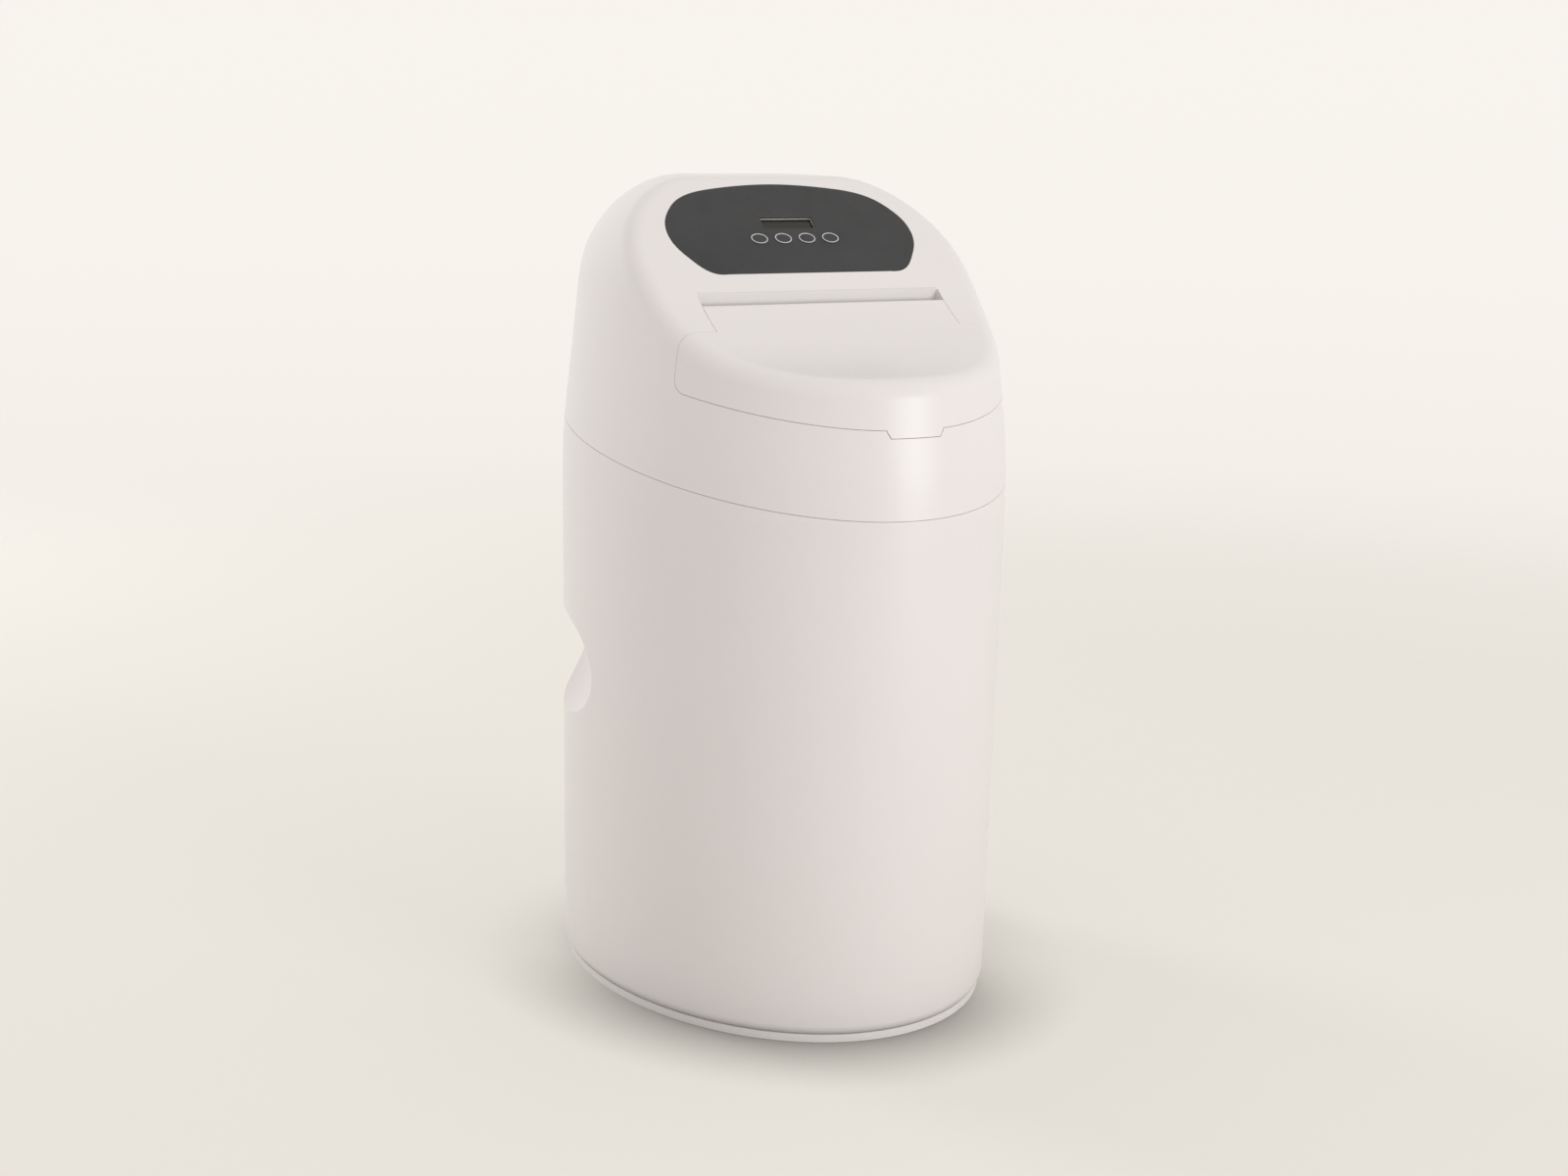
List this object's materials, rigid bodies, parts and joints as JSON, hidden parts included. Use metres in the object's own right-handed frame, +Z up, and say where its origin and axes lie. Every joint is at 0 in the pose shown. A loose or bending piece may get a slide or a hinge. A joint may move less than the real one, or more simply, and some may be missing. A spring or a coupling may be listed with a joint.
{
  "type": "water softener",
  "caption": "Compact cabinet water softener with a hinged salt lid, sloping control face with display and keys, resin tank, control valve, bypass and brine well",
  "frame": {"origin": "centre of the base, on the floor, midway between the front and back of the cabinet", "axes": "+Z up, front towards -Y, +X to the right seen from the front"},
  "size_m": [0.33, 0.421, 0.635],
  "materials": {
    "body_white": "moulded, fine satin texture",
    "plinth_white": "moulded, satin",
    "overlay_charcoal": "printed film, satin",
    "display_glass": "dark window over a grey display",
    "key_charcoal": "soft keys",
    "board_green": "coated circuit board",
    "switch_black": "moulded",
    "tray_grey": "moulded",
    "steel": "zinc plated",
    "socket_black": "moulded",
    "guard_grey": "moulded sheet",
    "tank_blue": "wound glass fibre under a gloss shell",
    "boot_black": "moulded",
    "resin_amber": "packed beads",
    "pipe_white": "extruded",
    "strainer_grey": "moulded",
    "valve_black": "glass filled, moulded",
    "seal_rubber": "moulded",
    "gear_white": "moulded",
    "motor_steel": "drawn can",
    "turbine_blue": "moulded",
    "handle_red": "moulded",
    "handle_blue": "moulded",
    "float_white": "moulded",
    "hose_clear": "extruded hose",
    "grid_white": "moulded"
  },
  "bodies": {
    "cabinet_assembly": {"base_plinth": "plinth_white", "cabinet": "body_white", "resin_tank": "tank_blue", "tank_boot": "boot_black", "resin_bed": "resin_amber", "riser_tube": "pipe_white", "lower_distributor": "strainer_grey", "upper_distributor": "strainer_grey", "valve_body": "valve_black", "seal_rings": "seal_rubber", "bore_cap": "valve_black", "drive_plate": "valve_black", "drive_motor": "motor_steel", "meter_cap": "valve_black", "injector_cap": "valve_black", "drain_elbow": "valve_black", "bypass_body": "valve_black", "tail_connectors": "valve_black", "tail_nuts": "valve_black", "brine_well": "pipe_white", "pickup_tube": "pipe_white", "brine_valve": "valve_black", "air_check": "strainer_grey", "brine_line": "hose_clear", "salt_grid": "grid_white", "overflow_elbow": "strainer_grey", "overflow_nut": "strainer_grey"},
    "cover_assembly": {"top_cover": "body_white", "control_overlay": "overlay_charcoal", "display_module": "display_glass", "control_box": "tray_grey", "control_board": "board_green", "key_switches": "switch_black", "board_screws": "steel", "lid_hinge_pins": "steel", "salt_guard": "guard_grey", "power_socket": "socket_black"},
    "lid": {"salt_lid": "body_white"},
    "key_1_cap": {"key_1": "key_charcoal"},
    "key_2_cap": {"key_2": "key_charcoal"},
    "key_3_cap": {"key_3": "key_charcoal"},
    "key_4_cap": {"key_4": "key_charcoal"},
    "gear": {"drive_gear": "gear_white"},
    "pinion": {"motor_pinion": "gear_white"},
    "valve_piston": {"piston": "gear_white"},
    "turbine": {"meter_turbine": "turbine_blue"},
    "inlet_rotor": {"bypass_rotor_inlet": "handle_red"},
    "outlet_rotor": {"bypass_rotor_outlet": "handle_blue"},
    "float": {"brine_float": "float_white"},
    "well_cap": {"brine_well_cap": "pipe_white"}
  },
  "joints": [
    {"name": "cover_lift", "type": "slide", "parent": "cabinet_assembly", "child": "cover_assembly", "axis": [0, 0, 1], "range_m": [0, 0.08]},
    {"name": "lid_hinge", "type": "hinge", "parent": "cover_assembly", "child": "lid", "pos_m": [0, -0.0455, 0.53926], "axis": [-1, 0, 0], "range_deg": [0, 100]},
    {"name": "key_1_press", "type": "slide", "parent": "cover_assembly", "child": "key_1_cap", "axis": [0, 0.6561, -0.7547], "range_m": [0, 0.0008], "stiffness_N_per_m": 400},
    {"name": "key_2_press", "type": "slide", "parent": "cover_assembly", "child": "key_2_cap", "axis": [0, 0.6561, -0.7547], "range_m": [0, 0.0008], "stiffness_N_per_m": 400},
    {"name": "key_3_press", "type": "slide", "parent": "cover_assembly", "child": "key_3_cap", "axis": [0, 0.6561, -0.7547], "range_m": [0, 0.0008], "stiffness_N_per_m": 400},
    {"name": "key_4_press", "type": "slide", "parent": "cover_assembly", "child": "key_4_cap", "axis": [0, 0.6561, -0.7547], "range_m": [0, 0.0008], "stiffness_N_per_m": 400},
    {"name": "gear_turn", "type": "hinge", "parent": "cabinet_assembly", "child": "gear", "pos_m": [0, 0.026, 0.481], "axis": [0, 1, 0], "range_deg": [0, 1080]},
    {"name": "pinion_turn", "type": "hinge", "parent": "cabinet_assembly", "child": "pinion", "pos_m": [0, 0.026, 0.5185], "axis": [0, 1, 0], "range_deg": [-4320, 0]},
    {"name": "piston_slide", "type": "slide", "parent": "cabinet_assembly", "child": "valve_piston", "axis": [0, -1, 0], "range_m": [0, 0.021]},
    {"name": "turbine_spin", "type": "hinge", "parent": "cabinet_assembly", "child": "turbine", "pos_m": [0.03, 0.09, 0.481], "axis": [0, 0, 1], "continuous": true},
    {"name": "inlet_bypass_turn", "type": "hinge", "parent": "cabinet_assembly", "child": "inlet_rotor", "pos_m": [0.03, 0.1525, 0.481], "axis": [0, 0, -1], "range_deg": [0, 90]},
    {"name": "outlet_bypass_turn", "type": "hinge", "parent": "cabinet_assembly", "child": "outlet_rotor", "pos_m": [-0.03, 0.1525, 0.481], "axis": [0, 0, 1], "range_deg": [0, 90]},
    {"name": "float_rise", "type": "slide", "parent": "cabinet_assembly", "child": "float", "axis": [0, 0, 1], "range_m": [0, 0.07]},
    {"name": "well_cap_lift", "type": "slide", "parent": "cabinet_assembly", "child": "well_cap", "axis": [0, 0, 1], "range_m": [0, 0.03]}
  ],
  "couplings": [
    {"joint": "pinion_turn", "follows": "gear_turn", "ratio": -4},
    {"joint": "piston_slide", "follows": "gear_turn", "m_per_rad": 0.0011141}
  ]
}
